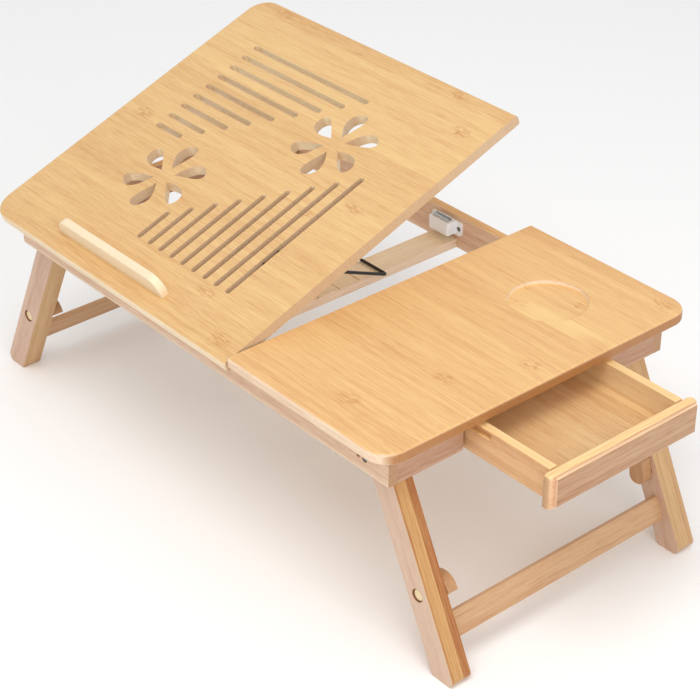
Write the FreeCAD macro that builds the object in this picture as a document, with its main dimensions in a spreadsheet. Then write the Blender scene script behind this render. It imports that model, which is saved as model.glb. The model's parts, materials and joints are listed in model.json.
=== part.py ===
import FreeCAD, Part
import math
import os
import re

# Folding bamboo laptop stand: a frame of apron boards on two folding leg pairs,
# a hinged desk panel held up by a wire prop, a fixed side panel with a cup
# recess, and a drawer that slides out of the right-hand end.
# X runs along the stand, Y from the front edge to the back, Z up from the floor.

SIZES = {
    # position of the object's own origin, measured from the middle of the two panels
    "origin_x": 18.363,
    "origin_y": -0.874,
    # how far a cutting tool runs past the face that it cuts
    "cut_past": 1.0,
    # the two panels
    "panel_length": 550.0,
    "panel_depth": 348.0,
    "panel_thick": 10.0,
    "top_height": 209.0,
    "fixed_width": 192.5,
    "panel_gap": 1.5,
    "corner_radius": 22.0,
    "edge_round": 3.0,
    "under_round": 1.8,
    "cup_radius": 35.0,
    "cup_depth": 3.5,
    "cup_cove": 2.6,
    "cup_x": 187.0,
    "cup_y": 89.0,
    # apron frame
    "overhang_ends": 17.0,
    "overhang_front": 20.0,
    "overhang_back": 18.0,
    "board_thick": 9.0,
    "apron_height": 33.0,
    # notched bar across the middle
    "bar_middle": -1.2,
    "bar_width": 27.5,
    "bar_thick": 9.0,
    "notch_count": 4,
    "notch_pitch": 24.0,
    "notch_radius": 2.0,
    "notch_depth": 1.2,
    # hinged panel
    "tilt_angle": 20.6,
    "hinge_inset": 15.0,
    "barrel_radius": 2.4,
    "barrel_bore": 1.05,
    "barrel_pin": 1.0,
    "barrel_gap": 0.5,
    "leaf_length": 50.0,
    "leaf_thick": 1.2,
    "leaf_gap": 0.15,
    "leaf_from_barrel": 0.4,
    "leaf_back_gap": 0.5,
    "leaf_screw_offset": 17.0,
    "leaf_screw_length": 8.0,
    "leaf_screw_head": 2.3,
    "leaf_screw_shank": 1.2,
    "leaf_screw_head_depth": 0.9,
    "mortise_gap": 0.2,
    "knuckle_length": 16.0,
    "knuckle_gap": 0.3,
    "hinge_left": -215.0,
    "hinge_right": 25.0,
    # wire prop
    "prop_reach": 92.4,
    "prop_drop": 3.05,
    "prop_length": 132.8,
    "prop_half_width": 24.2,
    "wire_radius": 1.5,
    "wire_bend": 4.0,
    "wire_pivot_bend": 2.3,
    "wire_stub": 10.0,
    "foot_clearance": 0.45,
    "saddle_width": 9.0,
    "saddle_depth": 8.0,
    "saddle_height": 5.6,
    "saddle_bore": 1.56,
    "saddle_round": 2.4,
    "saddle_wire_gap": 1.0,
    "saddle_foot_length": 24.0,
    "saddle_foot_thick": 1.2,
    "saddle_screw_offset": 8.5,
    "saddle_screw_length": 7.5,
    "saddle_screw_head": 2.2,
    "saddle_screw_shank": 1.1,
    "saddle_screw_head_depth": 0.8,
    # ledge along the front of the hinged panel
    "ledge_length": 154.5,
    "ledge_thick": 8.0,
    "ledge_height": 17.5,
    "ledge_round": 15.0,
    "ledge_x": -104.6,
    "ledge_inset": 22.5,
    "ledge_soft_round": 1.6,
    "ledge_dowel_radius": 2.5,
    "ledge_dowel_length": 16.0,
    "ledge_dowel_seat": 7.0,
    "ledge_dowel_offset": 55.0,
    # ventilation slots and flowers, about the middle of their own pattern
    "vent_y": 3.6,
    "slot_count": 9,
    "slot_width": 5.7,
    "slot_pitch_x": 15.98,
    "slot_pitch_y": 15.65,
    "slot_short": 38.0,
    "slot_edge": 123.0,
    "slot_start": 13.1,
    "flower_offset": 56.8,
    "petal_count": 6,
    "petal_inner": 10.0,
    "petal_outer": 41.9,
    "petal_width": 16.6,
    "petal_bow": 2.9,
    "petal_taper": 0.6,
    "petal_swirl": 33.0,
    # drawer
    "drawer_middle": 3.0,
    "drawer_width": 150.0,
    "drawer_depth": 166.0,
    "drawer_height": 29.5,
    "drawer_open": 90.5,
    "drawer_rest_gap": 0.5,
    "side_thick": 8.0,
    "back_thick": 7.0,
    "bottom_thick": 3.5,
    "bottom_rise": 3.5,
    "front_thick": 10.0,
    "front_overlap": 9.0,
    "front_end_round": 4.8,
    "front_top_round": 3.2,
    "plate_thick": 3.0,
    "plate_inset": 5.0,
    "plate_height": 26.0,
    "plate_rise": 2.0,
    "plate_round": 0.8,
    "drawer_side_gap": 3.0,
    "guide_thick": 7.0,
    "guide_length": 161.0,
    "guide_rise": 4.0,
    "groove_height": 5.5,
    "groove_depth": 4.0,
    "groove_below_top": 2.5,
    "groove_stop": 64.0,
    "runner_gap": 0.5,
    "runner_end_gap": 2.0,
    "runner_length": 95.0,
    "stop_width": 8.0,
    "stop_thick": 2.8,
    "stop_gap": 1.5,
    "stop_inset": 4.0,
    "stop_overlap": 1.4,
    # folding legs
    "leg_stop_gap": 0.1,
    "pivot_drop": 21.0,
    "splay": 25.8,
    "leg_width": 24.0,
    "leg_depth": 20.0,
    "leg_gap_front": 1.5,
    "leg_gap_back": 3.7,
    "foot_round_outer": 6.5,
    "foot_round_inner": 3.0,
    "ground_length": 300.0,
    "ground_depth": 60.0,
    "pin_radius": 3.0,
    "pin_clearance": 0.05,
    "pin_recess": 0.5,
    "pin_past_leg": 1.0,
    "locating_hole": 1.9,
    "locating_offset": 7.7,
    "stretcher_drop": 156.6,
    "stretcher_height": 22.0,
    "stretcher_thick": 6.0,
    "stretcher_tenon": 8.0,
    # turn buttons on the legs
    "button_drop": 120.5,
    "button_thick": 10.0,
    "button_seat": 6.0,
    "button_gap": 0.4,
    "button_reach": 13.5,
    "button_tail": 10.8,
    "button_wide": 10.5,
    "button_narrow": 5.8,
    "button_shoulder": 15.0,
    "button_nose": 1.5,
    "button_heel": 7.0,
    "dowel_radius": 5.0,
    "dowel_recess": 1.5,
    "dowel_mouth": 5.9,
    "dowel_mouth_depth": 3.0,
    "button_turn_front": 20.0,
    "button_turn_back": 99.0,
    # magnetic catch
    "flange_length": 40.0,
    "flange_height": 14.5,
    "flange_thick": 2.0,
    "flange_round": 3.0,
    "catch_length": 26.0,
    "catch_depth": 11.0,
    "catch_height": 12.5,
    "catch_round": 2.0,
    "catch_below_panel": 4.5,
    "catch_screw_offset": 16.5,
    "catch_screw_length": 9.0,
    "catch_screw_head": 2.4,
    "catch_screw_shank": 1.3,
    "catch_screw_head_depth": 1.0,
    "pole_thick": 1.2,
    "pole_length": 21.0,
    "pole_rise": 2.7,
    "pole_depth": 9.0,
    "pole_spread": 2.6,
    "magnet_inset": 1.0,
    "magnet_drop": 0.8,
    "strike_length": 24.0,
    "strike_width": 12.0,
    "strike_thick": 1.5,
    "strike_round": 2.0,
    "strike_screw_length": 8.5,
    "strike_screw_head": 2.6,
    "strike_screw_shank": 1.3,
    "strike_screw_head_depth": 1.0,
}

doc = FreeCAD.newDocument("laptop_stand")
sheet = doc.addObject("Spreadsheet::Sheet", "Sizes")
for row, (alias, size) in enumerate(SIZES.items(), start=1):
    sheet.set("A%d" % row, alias.replace("_", " "))
    sheet.set("B%d" % row, str(size))
    sheet.setAlias("B%d" % row, alias)
doc.recompute()

WORD = re.compile(r"[a-z][a-z_]*")


def rule(text):
    """Turn a rule written in size names into an expression on the sheet."""
    text = str(text)
    return WORD.sub(lambda m: "Sizes." + m.group(0) if m.group(0) in SIZES else m.group(0), text)


def bind(thing, **rules):
    for prop, text in rules.items():
        thing.setExpression(prop.replace("_at_", "."), rule(text))


# Heights and planes that many pieces share.
UNDER = "(top_height - panel_thick)"
LOW = "(top_height - panel_thick - apron_height)"
FRONT = "(overhang_front - panel_depth / 2)"
BACK = "(panel_depth / 2 - overhang_back)"
FRONT_IN = "(overhang_front - panel_depth / 2 + board_thick)"
BACK_IN = "(panel_depth / 2 - overhang_back - board_thick)"
RIGHT = "(panel_length / 2 - overhang_ends)"
RIGHT_IN = "(panel_length / 2 - overhang_ends - board_thick)"
SEAM = "(panel_length / 2 - fixed_width)"
HINGE_Y = "(hinge_inset - panel_depth / 2)"
HINGE_Z = "(top_height - panel_thick - leaf_gap)"
PIVOT_Z = "(top_height - panel_thick - pivot_drop)"
# A leg stops against the lower inside edge of its end rail, which sets how far out it pivots.
PIVOT_X = ("(panel_length / 2 - overhang_ends - board_thick - (leg_width / 2 + leg_stop_gap"
           " + (apron_height - pivot_drop) * sin(splay * 1 deg)) / cos(splay * 1 deg))")
LEG_FRONT = "(overhang_front - panel_depth / 2 + board_thick + leg_gap_front)"
LEG_BACK = "(panel_depth / 2 - overhang_back - board_thick - leg_gap_back)"
DRAWER_FACE = "(panel_length / 2 - overhang_ends + drawer_rest_gap + drawer_open)"
DRAWER_END = "(panel_length / 2 - overhang_ends + drawer_rest_gap + drawer_open - drawer_depth)"
DRAWER_TOP = "(top_height - panel_thick - apron_height + drawer_height)"


def block(name, x, y, z):
    """A box given by its two limits along each axis."""
    box = doc.addObject("Part::Box", name)
    bind(box, Length="(%s) - (%s)" % (x[1], x[0]), Width="(%s) - (%s)" % (y[1], y[0]),
         Height="(%s) - (%s)" % (z[1], z[0]))
    bind(box, Placement_at_Base_at_x=x[0], Placement_at_Base_at_y=y[0], Placement_at_Base_at_z=z[0])
    return box


# Edges are told apart by where they lie, to within this distance.
CLOSE = 1e-4
SHORT_EDGE = 1.0

TURNS = {
    "X": FreeCAD.Rotation(FreeCAD.Vector(0, 1, 0), 90),
    "Y": FreeCAD.Rotation(FreeCAD.Vector(1, 0, 0), -90),
    "Z": FreeCAD.Rotation(),
}


def rod(name, axis, radius, length, x="0", y="0", z="0"):
    """A round bar that starts at x, y, z and runs along one axis."""
    bar = doc.addObject("Part::Cylinder", name)
    bind(bar, Radius=radius, Height=length)
    bar.Placement = FreeCAD.Placement(FreeCAD.Vector(), TURNS[axis])
    bind(bar, Placement_at_Base_at_x=x, Placement_at_Base_at_y=y, Placement_at_Base_at_z=z)
    return bar


def join(name, *parts):
    whole = doc.addObject("Part::MultiFuse", name)
    whole.Shapes = list(parts)
    whole.Refine = True
    return whole


def group(name, *parts):
    """Several separate solids kept as one node."""
    whole = doc.addObject("Part::Compound", name)
    whole.Links = list(parts)
    return whole


def cut(name, base, *tools):
    tool = tools[0] if len(tools) == 1 else group(name + "_tools", *tools)
    whole = doc.addObject("Part::Cut", name)
    whole.Base = base
    whole.Tool = tool
    return whole


def along(edge, axis):
    """True for a straight edge that runs along one axis."""
    if edge.Curve.TypeId != "Part::GeomLine":
        return False
    size = (edge.BoundBox.XLength, edge.BoundBox.YLength, edge.BoundBox.ZLength)
    across = [length for name, length in zip("XYZ", size) if name != axis]
    return size["XYZ".index(axis)] > SHORT_EDGE and max(across) < CLOSE


def rounded(name, base, size_name, picks):
    """Round the edges of base for which picks(edge, box of base) is true."""
    doc.recompute()
    box = base.Shape.BoundBox
    chosen = [i for i, edge in enumerate(base.Shape.Edges, start=1) if picks(edge, box)]
    whole = doc.addObject("Part::Fillet", name)
    whole.Base = base
    radius = SIZES[size_name]
    whole.Edges = [(i, radius, radius) for i in chosen]
    return whole


def near(a, b):
    return abs(a - b) < CLOSE


def stand(node, x="0", y="0", z="0", axis=None, angle=None):
    """Put a finished node in the object's frame, turned about its own axis if need be."""
    if axis is not None:
        node.Placement = FreeCAD.Placement(FreeCAD.Vector(), FreeCAD.Rotation(axis, 0))
        bind(node, Placement_at_Rotation_at_Angle=angle)
    bind(node, Placement_at_Base_at_x="(%s) - origin_x" % x, Placement_at_Base_at_y="(%s) - origin_y" % y,
         Placement_at_Base_at_z=z)
    NODES.append(node)
    return node


NODES = []
X_AXIS = FreeCAD.Vector(1, 0, 0)
Y_AXIS = FreeCAD.Vector(0, 1, 0)


def board(name, x, y, z):
    """A plain square-edged board of the frame or the drawer."""
    return stand(group(name, block(name + "_blank", x, y, z)))


def screw(name, kind, axis, x, y, z):
    """A small flat-headed screw; its head's outer face is at x, y, z and it points along the axis."""
    length, head, shank = [kind + "_screw_" + part for part in ("length", "head", "shank")]
    head_depth = head + "_depth"
    back = axis.startswith("-")
    letter = axis[-1]
    place = {"X": x, "Y": y, "Z": z}
    low = dict(place)
    low[letter] = "(%s) - (%s)" % (place[letter], length) if back else place[letter]
    stem = rod(name + "_stem", letter, shank, length, low["X"], low["Y"], low["Z"])
    top = dict(place)
    top[letter] = "(%s) - (%s)" % (place[letter], head_depth) if back else place[letter]
    disc = rod(name + "_head", letter, head, head_depth, top["X"], top["Y"], top["Z"])
    return join(name + "_screw", stem, disc)


# ---------------------------------------------------------------- apron frame
def pivot_rods(name, end, recess):
    """Two rods along Y, from inside one apron board's outer face to just past the legs that they carry."""
    if end == "front":
        limits = ("%s + %s" % (FRONT, recess), "%s + leg_depth + pin_past_leg" % LEG_FRONT)
    else:
        limits = ("%s - leg_depth - pin_past_leg" % LEG_BACK, "%s - %s" % (BACK, recess))
    return [rod("%s_%s_%s" % (name, end, side), "Y", "pin_radius", "(%s) - (%s)" % (limits[1], limits[0]),
                sign + PIVOT_X, limits[0], PIVOT_Z)
            for side, sign in (("right", ""), ("left", "-"))]


def locating_holes(side):
    """Open holes beside the two pivots of one apron board."""
    y = (FRONT if side == "front" else BACK_IN) + " - cut_past"
    holes = []
    for end, x in (("right", PIVOT_X + " - locating_offset"), ("left", "locating_offset - " + PIVOT_X)):
        holes.append(rod("hole_%s_%s" % (side, end), "Y", "locating_hole", "board_thick + 2 * cut_past",
                         x, y, PIVOT_Z))
    return holes


LEAF_HALF = "(leaf_length / 2)"
HINGE_SIDES = ("left", "right")
HINGE_SPAN = {side: ("hinge_%s - %s" % (side, LEAF_HALF), "hinge_%s + %s" % (side, LEAF_HALF))
              for side in HINGE_SIDES}


def wider(span, gap):
    """The same two limits with a gap added outside each."""
    return (span[0] + " - " + gap, span[1] + " + " + gap)


mortises = [block("leaf_mortise_" + side, wider(HINGE_SPAN[side], "mortise_gap"),
                  (FRONT + " - cut_past", FRONT_IN + " + cut_past"),
                  (UNDER + " - leaf_thick - 2 * leaf_gap", UNDER + " + cut_past"))
            for side in HINGE_SIDES]
LEAF_SCREW_X = ["hinge_%s %s leaf_screw_offset" % (side, sign) for side in HINGE_SIDES for sign in "-+"]
fixed_screws = [screw("fixed_%d" % i, "leaf", "-Z", x, FRONT + " + board_thick / 2",
                      UNDER + " - 2 * leaf_gap")
                for i, x in enumerate(LEAF_SCREW_X)]
front_board = block("front_board", ("-" + RIGHT, RIGHT), (FRONT, FRONT_IN), (LOW, UNDER))
front_apron = stand(cut("front_apron", front_board, group("fixed_screw_tools", *fixed_screws),
                        *(mortises + pivot_rods("bore", "front", "-cut_past") + locating_holes("front"))))

catch_screws = [screw("catch_" + side, "catch", "Y", sign + "catch_screw_offset", BACK_IN + " - flange_thick",
                      UNDER + " - catch_below_panel - flange_height / 2")
                for side, sign in (("left", "-"), ("right", ""))]
catch_screw_group = group("catch_screw_tools", *catch_screws)
back_board = block("back_board", ("-" + RIGHT, RIGHT), (BACK_IN, BACK), (LOW, UNDER))
back_apron = stand(cut("back_apron", back_board, catch_screw_group,
                       *(pivot_rods("bore", "back", "-cut_past") + locating_holes("back"))))

board("left_rail", ("-" + RIGHT, "-" + RIGHT_IN), (FRONT_IN, BACK_IN), (LOW, UNDER))
OPENING_FRONT = "(drawer_middle - drawer_width / 2 - drawer_side_gap)"
OPENING_BACK = "(drawer_middle + drawer_width / 2 + drawer_side_gap)"
board("right_rail_front", (RIGHT_IN, RIGHT), (FRONT_IN, OPENING_FRONT), (LOW, UNDER))
board("right_rail_back", (RIGHT_IN, RIGHT), (OPENING_BACK, BACK_IN), (LOW, UNDER))

leg_pivot_pins = stand(group("leg_pivot_pins", *(pivot_rods("pin", "front", "pin_recess")
                                                 + pivot_rods("pin", "back", "pin_recess"))))

# Notched bar from the front apron to the back apron, under the hinged panel.
BAR_TOP = "(top_height - panel_thick - apron_height + bar_thick)"
FOOT_Z = "(top_height - panel_thick - apron_height + bar_thick + wire_radius + foot_clearance)"
PROP_Y = "(%s + prop_reach * cos(tilt_angle * 1 deg) + prop_drop * sin(tilt_angle * 1 deg))" % HINGE_Y
PROP_Z = "(%s + prop_reach * sin(tilt_angle * 1 deg) - prop_drop * cos(tilt_angle * 1 deg))" % HINGE_Z
FOOT_Y = "(%s + sqrt(prop_length ^ 2 - (%s - %s) ^ 2))" % (PROP_Y, PROP_Z, FOOT_Z)
bar_board = block("bar_board", ("bar_middle - bar_width / 2", "bar_middle + bar_width / 2"),
                  (FRONT_IN, BACK_IN), (LOW, BAR_TOP))
notches = [rod("notch_%d" % i, "X", "notch_radius", "bar_width + 2 * cut_past",
               "bar_middle - bar_width / 2 - cut_past", "%s - %d * notch_pitch" % (FOOT_Y, i),
               BAR_TOP + " + notch_radius - notch_depth")
           for i in range(int(SIZES["notch_count"]))]
cross_bar = stand(cut("cross_bar", bar_board, *notches))

# ---------------------------------------------------------------- fixed panel
def rounded_panel(name, x, corners):
    """A panel with rounded corners at one end and softened edges."""
    slab = block(name + "_slab", x, ("-panel_depth / 2", "panel_depth / 2"), (UNDER, "top_height"))
    edge_x = "XMax" if corners == "right" else "XMin"
    turned = rounded(name + "_corners", slab, "corner_radius",
                     lambda e, b: along(e, "Z") and near(e.BoundBox.XMin, getattr(b, edge_x)))
    softened = rounded(name + "_top_edges", turned, "edge_round",
                       lambda e, b: near(e.BoundBox.ZMin, b.ZMax) and not inner(e, b, corners))
    return rounded(name + "_under_edges", softened, "under_round",
                   lambda e, b: near(e.BoundBox.ZMax, b.ZMin) and not inner(e, b, corners))


def inner(edge, box, corners):
    """True for the edge along the seam between the two panels."""
    seam = box.XMin if corners == "right" else box.XMax
    return near(edge.BoundBox.XMin, seam) and near(edge.BoundBox.XMax, seam)


cup = rounded("cup_tool", rod("cup_cylinder", "Z", "cup_radius", "cup_depth + cup_cove", "cup_x", "cup_y",
                              "top_height - cup_depth"),
              "cup_cove", lambda e, b: near(e.BoundBox.ZMax, b.ZMin) and near(e.BoundBox.XLength, b.XLength))
fixed_slab = rounded_panel("fixed_panel", (SEAM, "panel_length / 2"), "right")
fixed_panel = stand(cut("fixed_panel", fixed_slab, cup))

# ---------------------------------------------------------------- drawer compartment
RUNNER_TOP = "(%s - groove_below_top - runner_gap)" % DRAWER_TOP
GUIDE_X = (RIGHT_IN + " - guide_length", RIGHT_IN)
GUIDE_Z = (LOW + " + guide_rise", UNDER)
board("drawer_guide_front", GUIDE_X, (OPENING_FRONT + " - guide_thick", OPENING_FRONT), GUIDE_Z)
board("drawer_guide_back", GUIDE_X, (OPENING_BACK, OPENING_BACK + " + guide_thick"), GUIDE_Z)
SIDE_OUT_FRONT = "(drawer_middle - drawer_width / 2)"
SIDE_OUT_BACK = "(drawer_middle + drawer_width / 2)"
RUNNER_END = "(%s - groove_stop - drawer_open - runner_end_gap)" % DRAWER_FACE
RUNNER_X = (RUNNER_END + " - runner_length", RUNNER_END)
RUNNER_Z = (RUNNER_TOP + " - groove_height + 2 * runner_gap", RUNNER_TOP)
drawer_runners = stand(group(
    "drawer_runners",
    block("runner_front", RUNNER_X, (OPENING_FRONT, SIDE_OUT_FRONT + " + groove_depth - runner_gap"),
          RUNNER_Z),
    block("runner_back", RUNNER_X, (SIDE_OUT_BACK + " - groove_depth + runner_gap", OPENING_BACK), RUNNER_Z)))
STOP_X = "(%s + back_thick + stop_gap)" % DRAWER_END
board("drawer_stop", (STOP_X, STOP_X + " + stop_width"),
      (SIDE_OUT_FRONT + " + side_thick + stop_inset", SIDE_OUT_BACK + " - side_thick - stop_inset"),
      (UNDER + " - stop_thick", UNDER))

# ---------------------------------------------------------------- drawer
def grooved_side(name, y_out, inward):
    """A drawer side with a stopped groove for the runner in its outer face."""
    y_in = "%s %s side_thick" % (y_out, inward)
    y_groove = "%s %s groove_depth" % (y_out, inward)
    y_clear = "%s %s cut_past" % (y_out, "-" if inward == "+" else "+")
    board_y = (y_out, y_in) if inward == "+" else (y_in, y_out)
    groove_y = (y_clear, y_groove) if inward == "+" else (y_groove, y_clear)
    blank = block(name + "_blank", (DRAWER_END, DRAWER_FACE), board_y, (LOW, DRAWER_TOP))
    groove = block(name + "_groove", (DRAWER_END + " - cut_past", DRAWER_FACE + " - groove_stop"), groove_y,
                   (DRAWER_TOP + " - groove_below_top - groove_height", DRAWER_TOP + " - groove_below_top"))
    return stand(cut(name, blank, groove))


drawer_side_front = grooved_side("drawer_side_front", SIDE_OUT_FRONT, "+")
drawer_side_back = grooved_side("drawer_side_back", SIDE_OUT_BACK, "-")
DRAWER_IN = (SIDE_OUT_FRONT + " + side_thick", SIDE_OUT_BACK + " - side_thick")
board("drawer_back", (DRAWER_END, DRAWER_END + " + back_thick"), DRAWER_IN,
      (LOW, UNDER + " - stop_thick + stop_overlap"))
board("drawer_bottom", (DRAWER_END + " + back_thick", DRAWER_FACE), DRAWER_IN,
      (LOW + " + bottom_rise", LOW + " + bottom_rise + bottom_thick"))
front_slab = block("front_slab", (DRAWER_FACE, DRAWER_FACE + " + front_thick"),
                   (SIDE_OUT_FRONT + " - front_overlap", SIDE_OUT_BACK + " + front_overlap"), (LOW, DRAWER_TOP))
front_ends = rounded("front_ends", front_slab, "front_end_round", lambda e, b: along(e, "Z"))
drawer_front = stand(rounded("drawer_front", front_ends, "front_top_round",
                             lambda e, b: near(e.BoundBox.ZMin, b.ZMax)))
plate_slab = block("plate_slab",
                   (DRAWER_FACE + " + front_thick", DRAWER_FACE + " + front_thick + plate_thick"),
                   (SIDE_OUT_FRONT + " - front_overlap + plate_inset",
                    SIDE_OUT_BACK + " + front_overlap - plate_inset"),
                   (LOW + " + plate_rise", LOW + " + plate_rise + plate_height"))
drawer_face_plate = stand(rounded("drawer_face_plate", plate_slab, "plate_round",
                                  lambda e, b: near(e.BoundBox.XMin, b.XMax)))


# ---------------------------------------------------------------- magnetic catch
CATCH_TOP = "(%s - catch_below_panel)" % UNDER
flange_slab = block("flange_slab", ("-flange_length / 2", "flange_length / 2"),
                    (BACK_IN + " - flange_thick", BACK_IN), (CATCH_TOP + " - flange_height", CATCH_TOP))
flange = rounded("flange", flange_slab, "flange_round", lambda e, b: along(e, "Y"))
catch_slab = block("catch_slab", ("-catch_length / 2", "catch_length / 2"),
                   (BACK_IN + " - flange_thick - catch_depth", BACK_IN + " - flange_thick"),
                   (CATCH_TOP + " - catch_height", CATCH_TOP))
catch_body = rounded("catch_body", catch_slab, "catch_round",
                     lambda e, b: along(e, "Z") and near(e.BoundBox.YMin, b.YMin))
POLE_MIDDLE = "(%s - flange_thick - catch_depth / 2)" % BACK_IN
POLE_FRONT = (POLE_MIDDLE + " - pole_spread", POLE_MIDDLE + " - pole_spread + pole_thick")
POLE_BACK = (POLE_MIDDLE + " + pole_spread - pole_thick", POLE_MIDDLE + " + pole_spread")
poles = [block("pole_" + side, ("-pole_length / 2", "pole_length / 2"), span,
               (CATCH_TOP + " - pole_depth", CATCH_TOP + " + pole_rise"))
         for side, span in (("front", POLE_FRONT), ("back", POLE_BACK))]
magnet = block("magnet", ("-pole_length / 2 + magnet_inset", "pole_length / 2 - magnet_inset"),
               (POLE_FRONT[1], POLE_BACK[0]), (CATCH_TOP + " - pole_depth", CATCH_TOP + " - magnet_drop"))
pole_group = group("pole_tools", *poles)
catch_housing = stand(cut("catch_housing", join("catch_shell", flange, catch_body), pole_group, magnet,
                          catch_screw_group))
catch_pole_plates = stand(group("catch_pole_plates", *poles))
catch_magnet = stand(group("catch_magnet", magnet))
catch_screws_node = stand(group("catch_screws", *catch_screws))

# ---------------------------------------------------------------- hinges
# Hinge pieces are drawn about the hinge axis, with the panel closed.
def barrel(name, x_from, x_to):
    return rod(name, "X", "barrel_radius", "(%s) - (%s)" % (x_to, x_from), x_from)


KNUCKLE = "(knuckle_length / 2)"
LEAF_BACK = "(%s - %s - leaf_back_gap)" % (FRONT_IN, HINGE_Y)
LEAF_START = "barrel_radius + leaf_from_barrel"
FIXED_LEAF_Z = ("-leaf_thick - leaf_gap", "-leaf_gap")
MOVING_LEAF_Z = ("leaf_gap", "leaf_gap + leaf_thick")


def leaf_plate(name, side, z):
    return block("%s_plate_%s" % (name, side), HINGE_SPAN[side], (LEAF_START, LEAF_BACK), z)


def knuckle(name, low, high, z):
    """A length of barrel, and the tongue that joins it to its leaf."""
    return [block(name + "_tongue", (low, high), ("0", LEAF_START), z), barrel(name + "_barrel", low, high)]


def fixed_leaf(side):
    middle = "hinge_" + side
    return join("fixed_leaf_" + side, leaf_plate("fixed", side, FIXED_LEAF_Z),
                *knuckle("fixed_" + side, middle + " - " + KNUCKLE, middle + " + " + KNUCKLE, FIXED_LEAF_Z))


def moving_leaf(side):
    low, high = HINGE_SPAN[side]
    west = knuckle("moving_%s_west" % side, low, "hinge_%s - %s - knuckle_gap" % (side, KNUCKLE),
                   MOVING_LEAF_Z)
    east = knuckle("moving_%s_east" % side, "hinge_%s + %s + knuckle_gap" % (side, KNUCKLE), high,
                   MOVING_LEAF_Z)
    return join("moving_leaf_" + side, leaf_plate("moving", side, MOVING_LEAF_Z), *(west + east))


LEAF_SCREW_Y = FRONT + " + board_thick / 2 - " + HINGE_Y
hinge_bores = [rod("hinge_bore_" + side, "X", "barrel_bore", "leaf_length + 2 * cut_past",
                   HINGE_SPAN[side][0] + " - cut_past") for side in HINGE_SIDES]
hinge_pins = [rod("hinge_pin_" + side, "X", "barrel_pin", "leaf_length", HINGE_SPAN[side][0])
              for side in HINGE_SIDES]
fixed_local_screws = [screw("fixed_local_%d" % i, "leaf", "-Z", x, LEAF_SCREW_Y, "-leaf_gap")
                      for i, x in enumerate(LEAF_SCREW_X)]
moving_screws = [screw("moving_%d" % i, "leaf", "Z", x, LEAF_SCREW_Y, "leaf_gap")
                 for i, x in enumerate(LEAF_SCREW_X)]
fixed_leaves_raw = [cut("fixed_leaf_bored_" + side, fixed_leaf(side), hinge_bores[i], *fixed_local_screws)
                    for i, side in enumerate(HINGE_SIDES)]
moving_leaves_raw = [cut("moving_leaf_bored_" + side, moving_leaf(side), hinge_bores[i], *moving_screws)
                     for i, side in enumerate(HINGE_SIDES)]
hinge_fixed_leaves = stand(group("hinge_fixed_leaves", *fixed_leaves_raw), y=HINGE_Y, z=HINGE_Z)
hinge_pins_node = stand(group("hinge_pins", *hinge_pins), y=HINGE_Y, z=HINGE_Z)
hinge_fixed_screws = stand(group("hinge_fixed_screws", *fixed_screws))


def tilted(node):
    """Stand a node of the hinged panel: its own origin is on the hinge axis."""
    return stand(node, y=HINGE_Y, z=HINGE_Z, axis=X_AXIS, angle="tilt_angle")


hinge_moving_leaves = tilted(group("hinge_moving_leaves", *moving_leaves_raw))
hinge_moving_screws = tilted(group("hinge_moving_screws", *moving_screws))

# ---------------------------------------------------------------- hinged panel
VENT_X = (SIZES["fixed_width"] + SIZES["panel_gap"]) / -2
VENT_Y = SIZES["vent_y"]
PANEL_THROUGH = SIZES["panel_thick"] + 2 * SIZES["cut_past"]
UPWARD = FreeCAD.Vector(0, 0, 1)


def slot_solid(x, y, length, lengthwise):
    """A straight slot with round ends, through the panel, starting at x, y."""
    half = SIZES["slot_width"] / 2
    start = FreeCAD.Vector(x, y, -SIZES["cut_past"])
    run = FreeCAD.Vector(1, 0, 0) if lengthwise else FreeCAD.Vector(0, 1, 0)
    side = FreeCAD.Vector(0, 1, 0) if lengthwise else FreeCAD.Vector(1, 0, 0)
    ends = [start + run * half, start + run * (length - half)]
    middle = Part.makePolygon([ends[0] - side * half, ends[1] - side * half, ends[1] + side * half,
                               ends[0] + side * half, ends[0] - side * half])
    body = Part.Face(middle).extrude(UPWARD * PANEL_THROUGH)
    return body.fuse([Part.makeCylinder(half, PANEL_THROUGH, end, UPWARD) for end in ends])


def petal_solid(x, y, turn):
    """One bowed teardrop, nearly pointed by the flower's middle and round at the outside.

    Along the petal, reach goes from 0 to 1 and back while the outline goes round once. The half width
    is reach ** taper * sin(round trip), made so that the widest place measures petal_width, and the
    middle line bows to one side by petal_bow * 4 * reach * (1 - reach).
    """
    taper = SIZES["petal_taper"]
    widest = (taper + 0.5) / (taper + 1)
    fullness = 1 / (2 * widest ** (taper + 0.5) * (1 - widest) ** 0.5)
    inner_end = SIZES["petal_inner"]
    span = SIZES["petal_outer"] - inner_end
    points = []
    steps = 16
    for i in range(steps):
        round_trip = 2 * math.pi * i / steps
        reach = (1 - math.cos(round_trip)) / 2
        half = SIZES["petal_width"] / 2 * fullness * reach ** taper * math.sin(round_trip)
        bow = SIZES["petal_bow"] * 4 * reach * (1 - reach)
        points.append(FreeCAD.Vector(inner_end + span * reach, half + bow, -SIZES["cut_past"]))
    curve = Part.BSplineCurve()
    curve.interpolate(points, PeriodicFlag=True)
    solid = Part.Face(Part.Wire([curve.toShape()])).extrude(UPWARD * PANEL_THROUGH)
    solid.rotate(FreeCAD.Vector(), UPWARD, turn)
    solid.translate(FreeCAD.Vector(x, y, 0))
    return solid


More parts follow.
